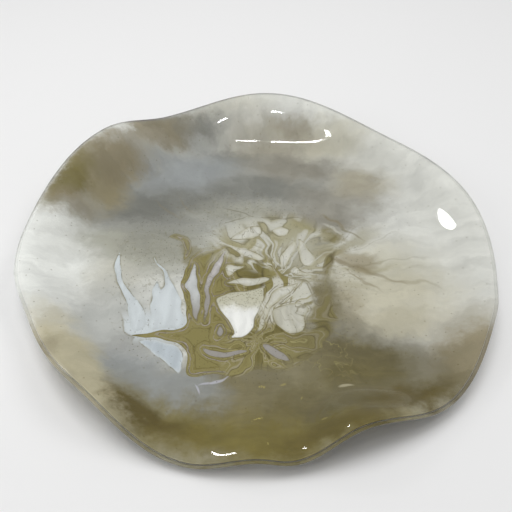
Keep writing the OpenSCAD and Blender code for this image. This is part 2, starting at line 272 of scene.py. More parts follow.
# Strokes, strands and flakes drawn over the clouds: tint, x, y, half widths, turn, strength
STROKES = [
    ("lilac", -24, -105.5, 11, 0.9, 24, 0.7),
    ("lilac", -32.5, -112.5, 5, 0.9, -58, 0.7),
    ("gilt", 12, -109, 3.2, 0.9, 8, 0.4),
    ("sand", 47, -111, 4.5, 1.4, 14, 0.6),
    ("gilt", 24, -118, 1.6, 0.7, 60, 0.4),
    ("gilt", 32, -131, 2.6, 0.8, 5, 0.4),
    ("umber", 60, -15, 20, 4, -24, 0.6),
    ("umber", 80, -25, 24, 1.6, -30, 0.45),
    ("umber", 70, -30, 17, 1.1, -38, 0.45),
    ("taupe", 100, -34, 22, 2, -14, 0.4),
    ("umber", 57, 26, 12, 1.6, -52, 0.6),
    ("drab", 66, 16, 14, 1.2, -35, 0.5),
    ("ivory", 54, 20, 10, 1.4, -40, 0.6),
    ("umber", -66, 40, 22, 1.2, -48, 0.3),
    ("umber", -52, 46, 18, 1.0, -56, 0.3),
    ("loden", -14, 38, 17, 0.8, -24, 0.45),
    ("loden", 18, 31, 19, 0.9, -6, 0.45),
    ("loden", -16, 28, 13, 0.7, 30, 0.45),
]

# Resin where no cloud lies
BASE_TINT = "pearl"
BASE_DENSITY = 0.88

# Shares of its half width at which a cloud, a stroke or a dot is full and has faded out
CLOUD_HARD = 0.3
CLOUD_SOFT = 1.35
STROKE_EDGE = (0.4, 1.1)
DOT_HARD = 0.6

# How far the flow may shift the clouds, in mm, and the noises that do it: reach, scale, detail, roughness
FIELD_REACH = 14.0
CLOUD_DRIFTS = [(15, 0.016, 3.0, 0.55), (14, 0.05, 6.0, 0.7), (4, 0.14, 4.0, 0.65)]
FLOW_REACH = 8

# Middles, in mm, from which the dish's strands and the swirl's leaves and lobes spread
DISH_MIDDLE = (0.0, 0.0, 0.0)
LEAVES_AT = (14.0, -29.0, 0.0)
LOBES_AT = (3.0, -79.0, 0.0)

# Soft ellipses on the plan: x, y, half widths, turn, strength, shares where it starts to fade and ends
POOL = (-61, -68, 34, 15, -3, 1.0, 0.4, 1.1)
LEAF_ZONE = (12, -2, 48, 40, 0, 0.9, 0.6, 1.1)
PALE_ZONE = (30, -3, 18, 20, 0, 0.6)
RAY_ZONE = (70, -6, 50, 34, 0, 1.0, 0.4, 1.1)
CURL_ZONE = (40, -86, 20, 20, 0, 0.7)
VEIL_ZONE = (17, -47, 24, 21, 20, 0.95, 0.75, 1.0)
ABOVE_ZONE = (7, 3, 33, 27, 0, 0.95, 0.7, 1.05)

# Stretches of x or y, in mm, over which the star's lobes set in and darken, and its edges come loose
LOBES_FROM = (-24.0, -12.0)
LOBES_DARKEN = (8.0, 34.0)
LOOSE_RIGHT = (24.0, 40.0)
LOOSE_FRONT = (-90.0, -106.0)
LOOSE_SLOPE = -0.25
LOOSE_BACK = (-22.0, 0.0)
LOOSE_LEFT = (-48.0, -32.0)

# Where the ground is smeared beside the star, and reach of the pool round the white cells, in mm
SMEAR_X = (34.0, 18.0)
SMEAR_Y = (-96.0, -84.0)
POOL_REACH = 6.4

# Colours along drawn-out leaves, lobes, flow lines and veils: level, colour
LEAF_BANDS = [
    (0.30, (130, 122, 72)), (0.395, (138, 131, 84)), (0.415, (104, 97, 58)), (0.425, (172, 168, 142)),
    (0.455, (203, 203, 193)), (0.49, (196, 195, 181)), (0.503, (122, 115, 74)), (0.512, (168, 163, 130)),
    (0.55, (154, 148, 106)), (0.565, (188, 185, 166)), (0.60, (204, 204, 194)), (0.63, (176, 172, 148)),
    (0.642, (98, 91, 56)), (0.652, (134, 126, 78)),
]
STAR_BANDS = [
    (0.26, (100, 91, 47)), (0.37, (119, 111, 63)), (0.39, (84, 75, 39)), (0.405, (126, 118, 70)),
    (0.46, (143, 136, 90)), (0.475, (168, 162, 140)), (0.485, (140, 132, 84)), (0.53, (134, 126, 80)),
    (0.55, (156, 149, 120)), (0.58, (148, 141, 110)), (0.592, (88, 79, 43)), (0.605, (142, 134, 86)),
    (0.68, (128, 120, 73)), (0.70, (168, 161, 112)), (0.72, (126, 118, 70)),
]
FLOW_BANDS = [
    (0.0, (114, 105, 60)), (0.08, (142, 135, 86)), (0.14, (138, 130, 80)), (0.155, (84, 75, 40)),
    (0.17, (144, 136, 88)), (0.24, (137, 129, 78)), (0.26, (160, 153, 145)), (0.32, (154, 147, 136)),
    (0.335, (90, 80, 46)), (0.35, (141, 133, 82)), (0.45, (132, 123, 72)), (0.465, (150, 143, 112)),
    (0.48, (130, 122, 72)), (0.56, (122, 113, 62)), (0.575, (86, 76, 42)), (0.59, (134, 126, 76)),
]
VEIL_BANDS = [
    (0.30, (134, 127, 80)), (0.36, (192, 190, 174)), (0.44, (202, 201, 190)), (0.455, (136, 129, 86)),
    (0.47, (196, 195, 180)), (0.52, (206, 206, 198)), (0.535, (150, 144, 104)), (0.55, (194, 192, 178)),
    (0.62, (200, 199, 188)), (0.64, (132, 125, 78)), (0.70, (140, 132, 82)),
]

# Resins of the cells, with the y from which one is specked or over which it dulls, in mm
CELL_RESINS = {
    "heart_resin": dict(core=(238, 239, 237), edge=(222, 223, 218), speck_from=-54.0),
    "blue_white_resin": dict(core=(204, 211, 215), edge=(196, 203, 206), pool=POOL),
    "blue_grey_resin": dict(core=(184, 193, 200), edge=(198, 205, 209)),
    "spike_resin": dict(core=(196, 199, 200), edge=(178, 179, 179), density=0.98, dull=(-62.0, -38.0)),
    "cream_resin": dict(
        core=(196, 195, 184), edge=(178, 175, 154), density=0.96, line="leaf_outline", threads=0.15,
    ),
    "pearl_resin": dict(
        core=(209, 209, 201), edge=(186, 183, 162), density=0.96, line="leaf_outline", threads=0.15,
    ),
    "lilac_resin": dict(
        core=(204, 201, 206), edge=(176, 172, 172), density=0.96, threads=0.2, dull=(-50.0, -16.0),
    ),
}
STAR_RESIN = "olive_marble"
STAR_DENSITY = 0.97

# Resins of the cells that differ from their slots
CELL_LOOKS = {
    "white_petal_outer": "blue_white_resin",
    "white_petal_inner": "blue_white_resin",
    "white_spike": "spike_resin",
    "white_wedge": "blue_grey_resin",
    "white_heart": "heart_resin",
    "cream_veil": "pearl_resin",
    "cream_drops": "pearl_resin",
    "olive_curl": STAR_RESIN,
}

# Tinted pours under the clear coat: roughness and shine
POUR_ROUGH = 0.35
POUR_SHINE = 0.2

# Clear resin: what it lets through seen square and edge on, and its polish on the floor and at the rim
WHITE = (1, 1, 1, 1)
RESIN_IOR = 1.5
CLEAR_THROUGH = (0.985, 0.985, 0.975, 1)
CLEAR_GRAZING = (0.96, 0.96, 0.94, 1)
POLISHED = (0.02, 0.06)
SANDED = (0.25, 0.35)
RIM_POLISH = (0.2, 0.3)

# Stage, in metres: floor, camera and surrounding light
FLOOR_HALF = 3.0
FLOOR_DROP = -0.0002
FLOOR_TINT = (0.84, 0.84, 0.84, 1)
FLOOR_ROUGH = 0.7
CAMERA_TARGET = Vector((-0.9, -6.0, 0.0)) * MM
CAMERA_DISTANCE = 376.5 * MM
CAMERA_ELEVATION = math.radians(45)
CAMERA_FIELD = math.radians(50)
CAMERA_NEAR = 0.01
CAMERA_FAR = 20
WORLD_STRENGTH = 0.31

# Lamps: name, direction from the dish, distance, width and depth in metres, watts, shows in the polish
LAMPS = [
    ("key", (-0.12, 0.17, 0.98), 1.5, 0.80, 0.80, 11.3, False),
    ("window", (-0.80, -0.30, 0.52), 1.3, 0.60, 0.60, 2.6, False),
    ("fill", (0.60, 0.28, 0.75), 2.4, 0.90, 0.90, 11.0, False),
    ("glint", (-0.44, 0.56, 0.70), 1.8, 0.20, 0.08, 1.35, True),
    ("strip", (-0.02, -0.30, 0.954), 1.2, 0.07, 0.04, 0.45, True),
]


def srgb(r, g, b):
    """Linear colour of an 8-bit sRGB one, with full alpha."""
    def linear(v):
        v /= 255
        return v / 12.92 if v <= 0.04045 else ((v + 0.055) / 1.055) ** 2.4
    return (linear(r), linear(g), linear(b), 1.0)


# Shape of the sheet


def rim_ease(direction, column):
    """One column of the rim waves in these directions, eased between neighbours."""
    here = np.mod(direction, 360.0)
    i = np.searchsorted(RIM_WAVE[:, 0], here, side="right") - 1
    j = (i + 1) % len(RIM_WAVE)
    span = np.mod(RIM_WAVE[j, 0] - RIM_WAVE[i, 0], 360.0)
    share = np.mod(here - RIM_WAVE[i, 0], 360.0) / span
    ease = (1 - np.cos(np.pi * share)) / 2
    return RIM_WAVE[i, column] * (1 - ease) + RIM_WAVE[j, column] * ease


def rise(a):
    return RIM_RISE * (1 + rim_ease(a, 1))


def edge_r(a):
    return DISH_R + LIP_W * rim_ease(a, 2) - RIM_T / 2


def lip(a):
    return LIP_W + LIP_GAIN * rise(a)


def lap_start(a):
    return 1 - LAP_W / lip(a)


def around(a, r, z):
    """Points at radius r and height z in the directions a."""
    turn = np.radians(a)
    return np.stack([r * np.cos(turn), r * np.sin(turn), z + 0 * turn], -1)


def thinned(t):
    """Share of its thickness that the sheet keeps at share t of the lip."""
    return 1 + (RIM_T / COAT_T - 1) * t * t


def sheet(a, t, d):
    """Points of the lip: share t of its width, height d through the coats of the floor, square to it."""
    tilt = np.arctan2(6 * rise(a) * t * (1 - t), lip(a))
    h = d * thinned(t)
    r = edge_r(a) - lip(a) * (1 - t) - h * np.sin(tilt)
    z = rise(a) * t * t * (3 - 2 * t) + h * np.cos(tilt)
    return around(a, r, z)


def nose(a, b):
    """Points of the rounded rim, at angle b up its half round, in radians."""
    r = edge_r(a) + NOSE_R * math.cos(b)
    return around(a, r, rise(a) + NOSE_R + NOSE_R * math.sin(b))


def floor_ring(a, u, d):
    """Ring on the flat floor, at share u of the way from the middle to the lip."""
    return around(a, u * (edge_r(a) - lip(a)), d)


def swirl_reach():
    """Radius of the swirl, which fills the floor up to a set distance from the lip."""
    foot = floor_ring(np.arange(CAD_COLUMNS) * 360.0 / CAD_COLUMNS, 1.0, 0.0)[:, :2]
    return np.hypot(*(foot - SWIRL).T).min() - SWIRL_EDGE


SWIRL_R = swirl_reach()


def swell(points):
    """Slight unevenness that a self-levelled coat keeps, as heights in mm."""
    x, y = points[..., 0], points[..., 1]
    slow = np.sin(x / 19 + 0.7) * np.sin(y / 23 - 0.4) + np.sin((x + y) / 31 + 1.9)
    quick = np.sin(x / 9 - y / 13 + 2.1) * np.sin(y / 8 + x / 17)
    return SWELL_SLOW * slow + SWELL_QUICK * quick


# Meshes


def new_object(name, data):
    made = bpy.data.objects.new(name, data)
    scene.collection.objects.link(made)
    return made


def make_piece(name, points, faces, kinds, mats, smooth=True):
    """Object from points in mm, riding on the dish and standing for the node of its name."""
    mesh = bpy.data.meshes.new(name)
    mesh.from_pydata((points * MM).tolist(), [], faces)
    for m in mats:
        mesh.materials.append(m)
    mesh.polygons.foreach_set("material_index", kinds)
    mesh.polygons.foreach_set("use_smooth", [smooth] * len(faces))
    mesh.update()
    mesh.set_sharp_from_angle(angle=SHARP_TURN)
    piece = new_object(name, mesh)
    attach(piece, "root")
    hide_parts(name)
    return piece


def lofted(name, rings, kinds, mats, downward=False):
    """Closed shell through rings, from the centre of the first to the centre of the last."""
    n = len(rings[0])
    count = len(rings)
    points = np.vstack([*rings, rings[0].mean(0), rings[-1].mean(0)])
    first, last = n * count, n * count + 1
    faces = []
    bands = []
    for k in range(count - 1):
        for i in range(n):
            j = (i + 1) % n
            faces.append((k * n + i, (k + 1) * n + i, (k + 1) * n + j, k * n + j))
            bands.append(kinds[k])
    for i in range(n):
        j = (i + 1) % n
        faces.append((first, i, j))
        bands.append(kinds[0])
        faces.append((last, (count - 1) * n + j, (count - 1) * n + i))
        bands.append(kinds[-1])
    if downward:
        faces = [f[::-1] for f in faces]
    return make_piece(name, points, faces, bands, mats)


def grid_slab(name, above, below, mats):
    """Closed slab between two grids, whose sides against its neighbours take the second material."""
    rows, cols = above.shape[:2]
    under = rows * cols
    points = np.vstack([above.reshape(-1, 3), below.reshape(-1, 3)])
    faces = []
    kinds = []

    def wall(p, q, kind):
        faces.append((p, q, q + under, p + under))
        kinds.append(kind)

    for j in range(rows - 1):
        for i in range(cols - 1):
            a = j * cols + i
            b, c = a + 1, a + cols
            d = c + 1
            faces.append((a, c, d, b))
            faces.append((a + under, b + under, d + under, c + under))
            kinds += [0, 1]
    for i in range(cols - 1):
        wall(i, i + 1, 1)
        wall((rows - 1) * cols + i + 1, (rows - 1) * cols + i, 0)
    for j in range(rows - 1):
        wall((j + 1) * cols, j * cols, 1)
        wall(j * cols + cols - 1, (j + 1) * cols + cols - 1, 1)
    return make_piece(name, points, faces, kinds, mats)


def smooth_outline(points):
    """Smooth closed curve through an outline's points, in mm on the dish."""
    q = np.asarray(points, float)
    p, r, s = (np.roll(q, k, 0) for k in (1, -1, -2))
    t = (np.arange(OUTLINE_STEPS) / OUTLINE_STEPS)[None, :, None]
    p, q, r, s = (v[:, None, :] for v in (p, q, r, s))
    bend = (2 * p - 5 * q + 4 * r - s) * t ** 2 + (3 * q - p - 3 * r + s) * t ** 3
    curve = 0.5 * (2 * q + (r - p) * t + bend)
    return curve.reshape(-1, 2) * SWIRL_R + SWIRL


def inside(points, outlines):
    """Even-odd test of points against closed outlines."""
    odd = np.zeros(len(points), bool)
    x, y = points.T
    for line in outlines:
        for (x0, y0), (x1, y1) in zip(line, np.roll(line, -1, 0)):
            if y0 == y1:
                continue
            crosses = (y0 > y) != (y1 > y)
            odd ^= crosses & (x < x0 + (y - y0) * (x1 - x0) / (y1 - y0))
    return odd


def edge_distance(points, outlines):
    """Distance in mm from each point to the nearest outline point."""
    line = np.vstack(outlines)
    tree = kdtree.KDTree(len(line))
    for i, (x, y) in enumerate(line):
        tree.insert((x, y, 0), i)
    tree.balance()
    return np.array([tree.find((x, y, 0))[2] for x, y in points])


def drift(points):
    """The last movement of the liquid pours: a small smooth shift that all cells of the swirl share."""
    x, y = points.T
    inward = 1 - np.hypot(x - SWIRL[0], y - SWIRL[1]) / SWIRL_R
    fade = np.clip(inward, 0, DRIFT_FADE) / DRIFT_FADE
    dx = DRIFT_WIDE * np.sin(y / 4.1 + 0.6) + DRIFT_FINE * np.sin(y / 1.9 + x / 5.3)
    dy = DRIFT_WIDE * np.sin(x / 3.7 - 1.1) + DRIFT_FINE * np.sin(x / 2.2 - y / 4.7)
    return points + (fade * np.stack([dx, dy])).T


def flat_piece(name, marked, grid, mats, pale, rim=()):
    """Flat pour of the swirl, which carries its distances from its outlines and from the pale cells."""
    outlines = [*rim, *marked]
    low = np.vstack(outlines).min(0)
    high = np.vstack(outlines).max(0)
    mid = np.stack(np.meshgrid(np.arange(low[0], high[0], grid), np.arange(low[1], high[1], grid)), -1)
    mid[1::2, :, 0] += grid / 2
    mid = mid.reshape(-1, 2)
    mid = mid[inside(mid, outlines)]
    mid = mid[edge_distance(mid, outlines) > GRID_CLEARANCE * grid]
    edges = []
    start = 0
    for line in outlines:
        n = len(line)
        edges += [(start + i, start + (i + 1) % n) for i in range(n)]
        start += n
    flat = np.vstack([*outlines, mid])
    made = geometry.delaunay_2d_cdt([Vector(p) for p in flat], edges, [], 0, MERGE)
    plan = np.array([tuple(v) for v in made[0]])
    triangles = np.array(made[2])
    triangles = triangles[inside(plan[triangles].mean(1), outlines)]
    corner = plan[triangles]
    spin = np.cross(corner[:, 1] - corner[:, 0], corner[:, 2] - corner[:, 0])
    triangles[spin < 0] = triangles[spin < 0][:, ::-1]
    distances = {"edge": edge_distance(plan, marked), "pale": edge_distance(plan, pale)}
    plan = drift(plan)
    n = len(plan)
    points = np.vstack([np.column_stack([plan, np.full(n, z)]) for z in (POUR_HIGH, POUR_LOW)])
    faces = [tuple(t) for t in np.vstack([triangles, triangles[:, ::-1] + n]).tolist()]
    kinds = [0] * len(triangles) + [1] * len(triangles)
    sides = {}
    for a, b, c in triangles.tolist():
        for p, q in ((a, b), (b, c), (c, a)):
            if sides.pop((q, p), None) is None:
                sides[(p, q)] = True
    for p, q in sides:
        faces.append((q, p, p + n, q + n))
        kinds.append(1)
    piece = make_piece(name, points, faces, kinds, mats, smooth=False)
    for key, distance in distances.items():
        values = piece.data.attributes.new(key, "FLOAT", "POINT")
        values.data.foreach_set("value", np.concatenate([distance, distance]))
    return piece


# Nodes of the materials


def tint(name):
    return srgb(*TINTS[name])


class Nodes:
    """Short calls for the nodes of one material or group."""

    def __init__(self, tree, mat=None):
        self.tree = tree
        self.mat = mat

    def add(self, kind, inputs=(), **settings):
        """Node with its settings made and its inputs set to values or linked to sockets."""
        made = self.tree.nodes.new("ShaderNode" + kind)
        for key, value in settings.items():
            setattr(made, key, value)
        for key, value in dict(inputs).items():
            if isinstance(value, bpy.types.NodeSocket):
                self.tree.links.new(value, made.inputs[key])
            else:
                made.inputs[key].default_value = value
        return made

    def math(self, operation, a, b=0.0, c=0.0, clamp=False):
        return self.add("Math", {0: a, 1: b, 2: c}, operation=operation, use_clamp=clamp).outputs[0]

    def times(self, a, b, clamp=False):
        return self.math("MULTIPLY", a, b, clamp=clamp)

    def minus(self, a, b):
        return self.math("SUBTRACT", a, b)

    def grown(self, start, value, by):
        """Start with a multiple of a value added."""
        return self.math("MULTIPLY_ADD", value, by, start)

    def off(self, value, level):
        """How far a value is from a level."""
        return self.math("ABSOLUTE", self.minus(value, level))

    def vector(self, operation, a, b=(0, 0, 0), c=(0, 0, 0)):
        return self.add("VectorMath", {0: a, 1: b, 2: c}, operation=operation).outputs[0]

    def length(self, a):
        return self.add("VectorMath", {0: a}, operation="LENGTH").outputs["Value"]

    def mixed(self, weight, a, b):
        """Colour on the way from one to another."""
        return self.add("Mix", {0: weight, 6: a, 7: b}, data_type="RGBA").outputs[2]

    def mixed_value(self, weight, a, b):
        return self.add("Mix", {0: weight, 2: a, 3: b}, data_type="FLOAT").outputs[0]

    def stained(self, colour, name, *weights):
        """Colour with a tint laid over it, as strong as its weights multiplied."""
        return self.mixed(functools.reduce(self.times, weights), colour, tint(name))

    def scaled(self, colour, by):
        """Colour made lighter or darker by a factor."""
        return self.add("HueSaturation", {"Value": by, "Color": colour}).outputs[0]

    def ranged(self, value, low, high, to=(0.0, 1.0), smooth=True):
        """Value carried over from low and high to two others."""
        kind = "SMOOTHSTEP" if smooth else "LINEAR"
        inputs = {0: value, 1: low, 2: high, 3: to[0], 4: to[1]}
        return self.add("MapRange", inputs, interpolation_type=kind).outputs[0]

    def noise_outputs(self, point, scale=1.0, detail=2.0, roughness=0.5, distortion=0.0):
        inputs = {"Vector": point, "Scale": scale, "Detail": detail, "Roughness": roughness}
        return self.add("TexNoise", {**inputs, "Distortion": distortion}).outputs

    def noise(self, point, **shape):
        return self.noise_outputs(point, **shape)["Fac"]

    def shift(self, point, amount, at, **shape):
        """Point moved by the noise at a place, up to amount in mm each way."""
        centred = self.vector("SUBTRACT", self.noise_outputs(at, **shape)["Color"], (0.5, 0.5, 0.5))
        return self.vector("MULTIPLY_ADD", centred, (2 * amount, 2 * amount, 0), point)

    def stretched(self, point, turn, scale):
        """Point turned and stretched, for a grain that runs one way."""
        inputs = {"Vector": point, "Rotation": (0, 0, turn), "Scale": scale}
        return self.add("Mapping", inputs).outputs[0]

    def place_mm(self):
        """Position on the dish in millimetres, flattened to the plan."""
        at = self.add("TexCoord").outputs["Object"]
        return self.vector("MULTIPLY", at, (1 / MM, 1 / MM, 0))

    def x_and_y(self, place):
        return self.add("SeparateXYZ", {0: place}).outputs[:2]

    def in_cloud(self, place, x, y, half_x, half_y, turn, strength, hard=CLOUD_HARD, soft=CLOUD_SOFT):
        """Weight inside a soft ellipse."""
        inputs = {"Location": (x, y, 0), "Rotation": (0, 0, math.radians(turn)), "Scale": (half_x, half_y, 1)}
        local = self.add("Mapping", {"Vector": place, **inputs}, vector_type="TEXTURE").outputs[0]
        return self.ranged(self.length(local), soft, hard, to=(0.0, strength))

    def spread(self, place, middle, turns, rings):
        """Coordinates that run round and away from a middle, without a seam."""
        arm = self.vector("SUBTRACT", place, middle)
        climb = self.times(self.math("LOGARITHM", self.length(arm), math.e), rings)
        out = self.add("CombineXYZ", {2: climb}).outputs[0]
        return self.vector("MULTIPLY_ADD", self.vector("NORMALIZE", arm), (turns, turns, 0), out)

    def leaf_level(self, place, middle, turns=2.2, rings=0.75):
        """Height whose contours are drawn-out leaves round a middle."""
        return self.noise(self.spread(place, middle, turns, rings), detail=1.4, distortion=0.3)

    def dots(self, place, scale, radius, share):
        """Mask of scattered round dots: one in each cell of a grid, kept for a share of the cells."""
        cell = self.add("TexVoronoi", {"Vector": place, "Scale": scale}, voronoi_dimensions="2D").outputs
        pick = self.add("SeparateColor", {0: cell["Color"]}).outputs[0]
        near = self.ranged(cell["Distance"], radius, DOT_HARD * radius)
        return self.times(near, self.math("LESS_THAN", pick, share))

    def lines(self, place, width, **shape):
        """Mask of thin wandering lines."""
        return self.ranged(self.off(self.noise(place, **shape), 0.5), width, 0.0)

    def attribute(self, name):
        return self.add("Attribute", attribute_name=name).outputs["Fac"]

    def ramped(self, value, bands):
        """Colour ramp through positions and colours."""
        ramp = self.add("ValToRGB", {0: value})
        line = ramp.color_ramp.elements
        while len(line) < len(bands):
            line.new(1.0)
        for stop, (position, colour) in zip(line, bands):
            stop.position = position
            stop.color = srgb(*colour)
        return ramp.outputs["Color"]

    def use_field(self, field):
        return self.add("Group", node_tree=field).outputs

    def see_through(self, colour, density):
        """Shader of a tinted layer, which lets light of its own tint through where it is thin."""
        inputs = {"Base Color": colour, "Roughness": POUR_ROUGH, "Specular IOR Level": POUR_SHINE}
        body = self.add("BsdfPrincipled", inputs).outputs[0]
        gap = self.add("BsdfTransparent", {"Color": self.mixed(0.5, colour, WHITE)}).outputs[0]
        return self.add("MixShader", {0: density, 1: gap, 2: body}).outputs[0]

    def polished(self, body, place, polish):
        """Body under a face that mirrors a little from outside, dulled in places."""
        outside = self.minus(1.0, self.add("NewGeometry").outputs["Backfacing"])
        mirror = self.times(self.add("Fresnel", {"IOR": RESIN_IOR}).outputs[0], outside)
        rough = self.ranged(self.noise(place, scale=0.05, detail=3.0), 0.3, 0.7, to=polish)
        gloss = self.add("BsdfGlossy", {"Roughness": rough, "Color": WHITE}).outputs[0]
        return self.add("MixShader", {0: mirror, 1: body, 2: gloss}).outputs[0]

    def facing(self):
        return self.add("LayerWeight", {"Blend": 0.5}).outputs["Facing"]

    def finish(self, shader):
        self.add("OutputMaterial", {"Surface": shader})
        return self.mat


def new_material(name):
    mat = bpy.data.materials.new(name)
    mat.use_nodes = True
    mat.node_tree.nodes.clear()
    return Nodes(mat.node_tree, mat)


# Materials


def reaching(entries, low, high):
    """Clouds or strokes that reach into a box on the plan."""
    near = []
    for entry in entries:
        middle = np.array(entry[1:3])
        reach = FIELD_REACH + CLOUD_SOFT * max(entry[3:5])
        if np.all(middle + reach > low) and np.all(middle - reach < high):
            near.append(entry)
    return near


def tint_field(name, clouds, strokes):
    """Node group with the colour and the density of the cloudy pours at each place of the dish."""
    tree = bpy.data.node_groups.new(name, "ShaderNodeTree")
    sockets = {"Color": "Color", "Density": "Float", "Place": "Vector", "Flow": "Vector", "Leaves": "Color"}
    for socket, kind in sockets.items():
        tree.interface.new_socket(socket, in_out="OUTPUT", socket_type="NodeSocket" + kind)
    g = Nodes(tree)
    place = g.place_mm()
    moved = place
    for reach, scale, detail, roughness in CLOUD_DRIFTS:
        moved = g.shift(moved, reach, place, scale=scale, detail=detail, roughness=roughness)
    colour = tint(BASE_TINT)
    density = BASE_DENSITY
    for cloud, *ellipse, thick, strength in clouds:
        weight = g.in_cloud(moved, *ellipse, strength)
        colour = g.stained(colour, cloud, weight)
        density = g.mixed_value(weight, density, thick)

    # soft mottling, brushed streaks, and strands drawn up the lip
    mottle = g.noise(moved, scale=0.045, detail=6.0, roughness=0.65)
    colour = g.scaled(colour, g.ranged(mottle, 0.3, 0.7, to=(0.88, 1.12), smooth=False))
    brushed = g.stretched(moved, turn=0.5, scale=(0.02, 0.11, 1))
    streak = g.noise(brushed, detail=4.0, roughness=0.6)
    colour = g.scaled(colour, g.ranged(streak, 0.35, 0.68, to=(0.97, 1.035)))
    drawn_up = g.spread(moved, DISH_MIDDLE, turns=9.0, rings=2.0)
    strand = g.noise(drawn_up, detail=5.0, roughness=0.65)
    colour = g.scaled(colour, g.ranged(strand, 0.3, 0.7, to=(0.92, 1.08)))

    # leaves of the swirl that run out into the pours round it, and rays at their right
    flow = g.shift(place, FLOW_REACH, place, scale=0.045)
    leaves = g.ramped(g.leaf_level(flow, LEAVES_AT), LEAF_BANDS)
    colour = g.mixed(g.in_cloud(flow, *LEAF_ZONE), colour, leaves)
    colour = g.stained(colour, "ivory", g.in_cloud(flow, *PALE_ZONE))
    rays = g.leaf_level(flow, LEAVES_AT, turns=4.2, rings=0.6)
    right = g.in_cloud(flow, *RAY_ZONE)
    colour = g.stained(colour, "khaki", g.ranged(rays, 0.56, 0.68, to=(0.0, 0.5)), right)
    colour = g.stained(colour, "reed", g.ranged(g.off(rays, 0.54), 0.016, 0.003, to=(0.0, 0.3)), right)

    # fine brushed grain in the dense pours, and the strokes
    combed = g.stretched(flow, turn=-0.15, scale=(0.05, 0.32, 1))
    comb = g.ranged(g.noise(combed, detail=5.0, roughness=0.7), 0.32, 0.68, to=(0.93, 1.07))
    dense = g.ranged(density, 0.962, 0.978)
    colour = g.scaled(colour, g.mixed_value(dense, 1.0, comb))
    for stroke, *ellipse in strokes:
        colour = g.stained(colour, stroke, g.in_cloud(flow, *ellipse, *STROKE_EDGE))

    # dark specks, and metal flakes and pale curls where the pours are dense
    colour = g.stained(colour, "bark", g.dots(place, scale=0.12, radius=0.055, share=0.35), 0.55)
    flat = g.vector("MULTIPLY", moved, (0.6, 1.5, 1))
    flake = g.dots(flat, scale=0.06, radius=0.055, share=0.25)
    colour = g.stained(colour, "gilt", flake, g.ranged(density, 0.965, 0.978, to=(0.0, 0.75)))
    curls = g.lines(flow, width=0.018, scale=0.11)
    colour = g.stained(colour, "straw", curls, g.in_cloud(flow, *CURL_ZONE))
    density = g.times(density, g.ranged(mottle, 0.25, 0.75, to=(1.04, 0.95)), clamp=True)
    out = tree.nodes.new("NodeGroupOutput")
    made = {"Color": colour, "Density": density, "Place": place, "Flow": flow, "Leaves": leaves}
    for socket, value in made.items():
        tree.links.new(value, out.inputs[socket])
    return tree


def pour_material(field):
    g = new_material("cloudy_resin")
    pour = g.use_field(field)
    return g.finish(g.see_through(pour["Color"], pour["Density"]))


def bond_material():
    g = new_material("bonded_face")
    return g.finish(g.add("BsdfTransparent").outputs[0])


def clear_material(name, polish):
    """Face of the clear coats, which darkens where it is seen edge on."""
    g = new_material(name)
    edge_on = g.ranged(g.facing(), 0.6, 0.95)
    gap = g.add("BsdfTransparent", {"Color": g.mixed(edge_on, CLEAR_THROUGH, CLEAR_GRAZING)}).outputs[0]
    return g.finish(g.polished(gap, g.place_mm(), polish))


def rim_material(field):
    """Rounded rim, where the flood coat runs over the tinted pours and deepens their tint seen edge on."""
    g = new_material("rim_resin")
    pour = g.use_field(field)
    facing = g.facing()
    depth = g.times(pour["Density"], g.ranged(facing, 0.2, 0.9, to=(0.75, 0.95)))
    colour = g.scaled(pour["Color"], g.ranged(facing, 0.5, 0.95, to=(1.0, 0.8)))
    return g.finish(g.polished(g.see_through(colour, depth), pour["Place"], RIM_POLISH))


def cell_material(
    name, field, core, edge, density=0.99, line="outline", speck_from=None, threads=0.0, dull=None, pool=None,
):
    """Cell of the swirl: middle and drawn-out edge, broken outline, threads, specks and dulling along y."""
    g = new_material(name)
    pour = g.use_field(field)
    place = pour["Place"]
    far = g.attribute("edge")
    grain = g.noise(place, scale=0.16, detail=4.0, roughness=0.6)
    colour = g.mixed(g.ranged(g.grown(far, grain, 4.0), 1.6, 4.6), srgb(*edge), srgb(*core))
    drawn = g.vector("MULTIPLY", place, (0.4, 0.1, 0))
    streak = g.noise(drawn, scale=0.5, detail=3.0)
    colour = g.scaled(colour, g.ranged(streak, 0.3, 0.7, to=(0.91, 1.06)))
    if threads:
        colour = g.mixed(threads, colour, pour["Leaves"])
        vein = g.lines(pour["Flow"], width=0.012, scale=0.07, distortion=0.4)
        colour = g.stained(colour, line, vein, 0.6)
    _, y = g.x_and_y(place)
    if dull is not None:
        colour = g.stained(colour, "shade", g.ranged(y, dull[1], dull[0]), 0.85)
    if speck_from is not None:
        climb = g.grown(g.minus(y, speck_from + 7.0), grain, 14.0)
        upper = g.ranged(climb, -5.0, 6.0)
        colour = g.stained(colour, "bisque", upper, 0.9)
        colour = g.stained(colour, "pepper", g.dots(place, scale=0.8, radius=0.34, share=0.5), upper, 0.75)
    broken = g.ranged(g.noise(place, scale=0.09, detail=3.0), 0.42, 0.58)
    outline = g.times(g.ranged(far, 0.75, 0.2), broken)
    if pool is not None:
        outline = g.times(outline, g.minus(1.0, g.in_cloud(place, *pool)))
    colour = g.stained(colour, line, outline, 0.8)
    colour = g.stained(colour, "dust", g.dots(place, scale=0.22, radius=0.075, share=0.35), 0.7)
    return g.finish(g.see_through(colour, density))


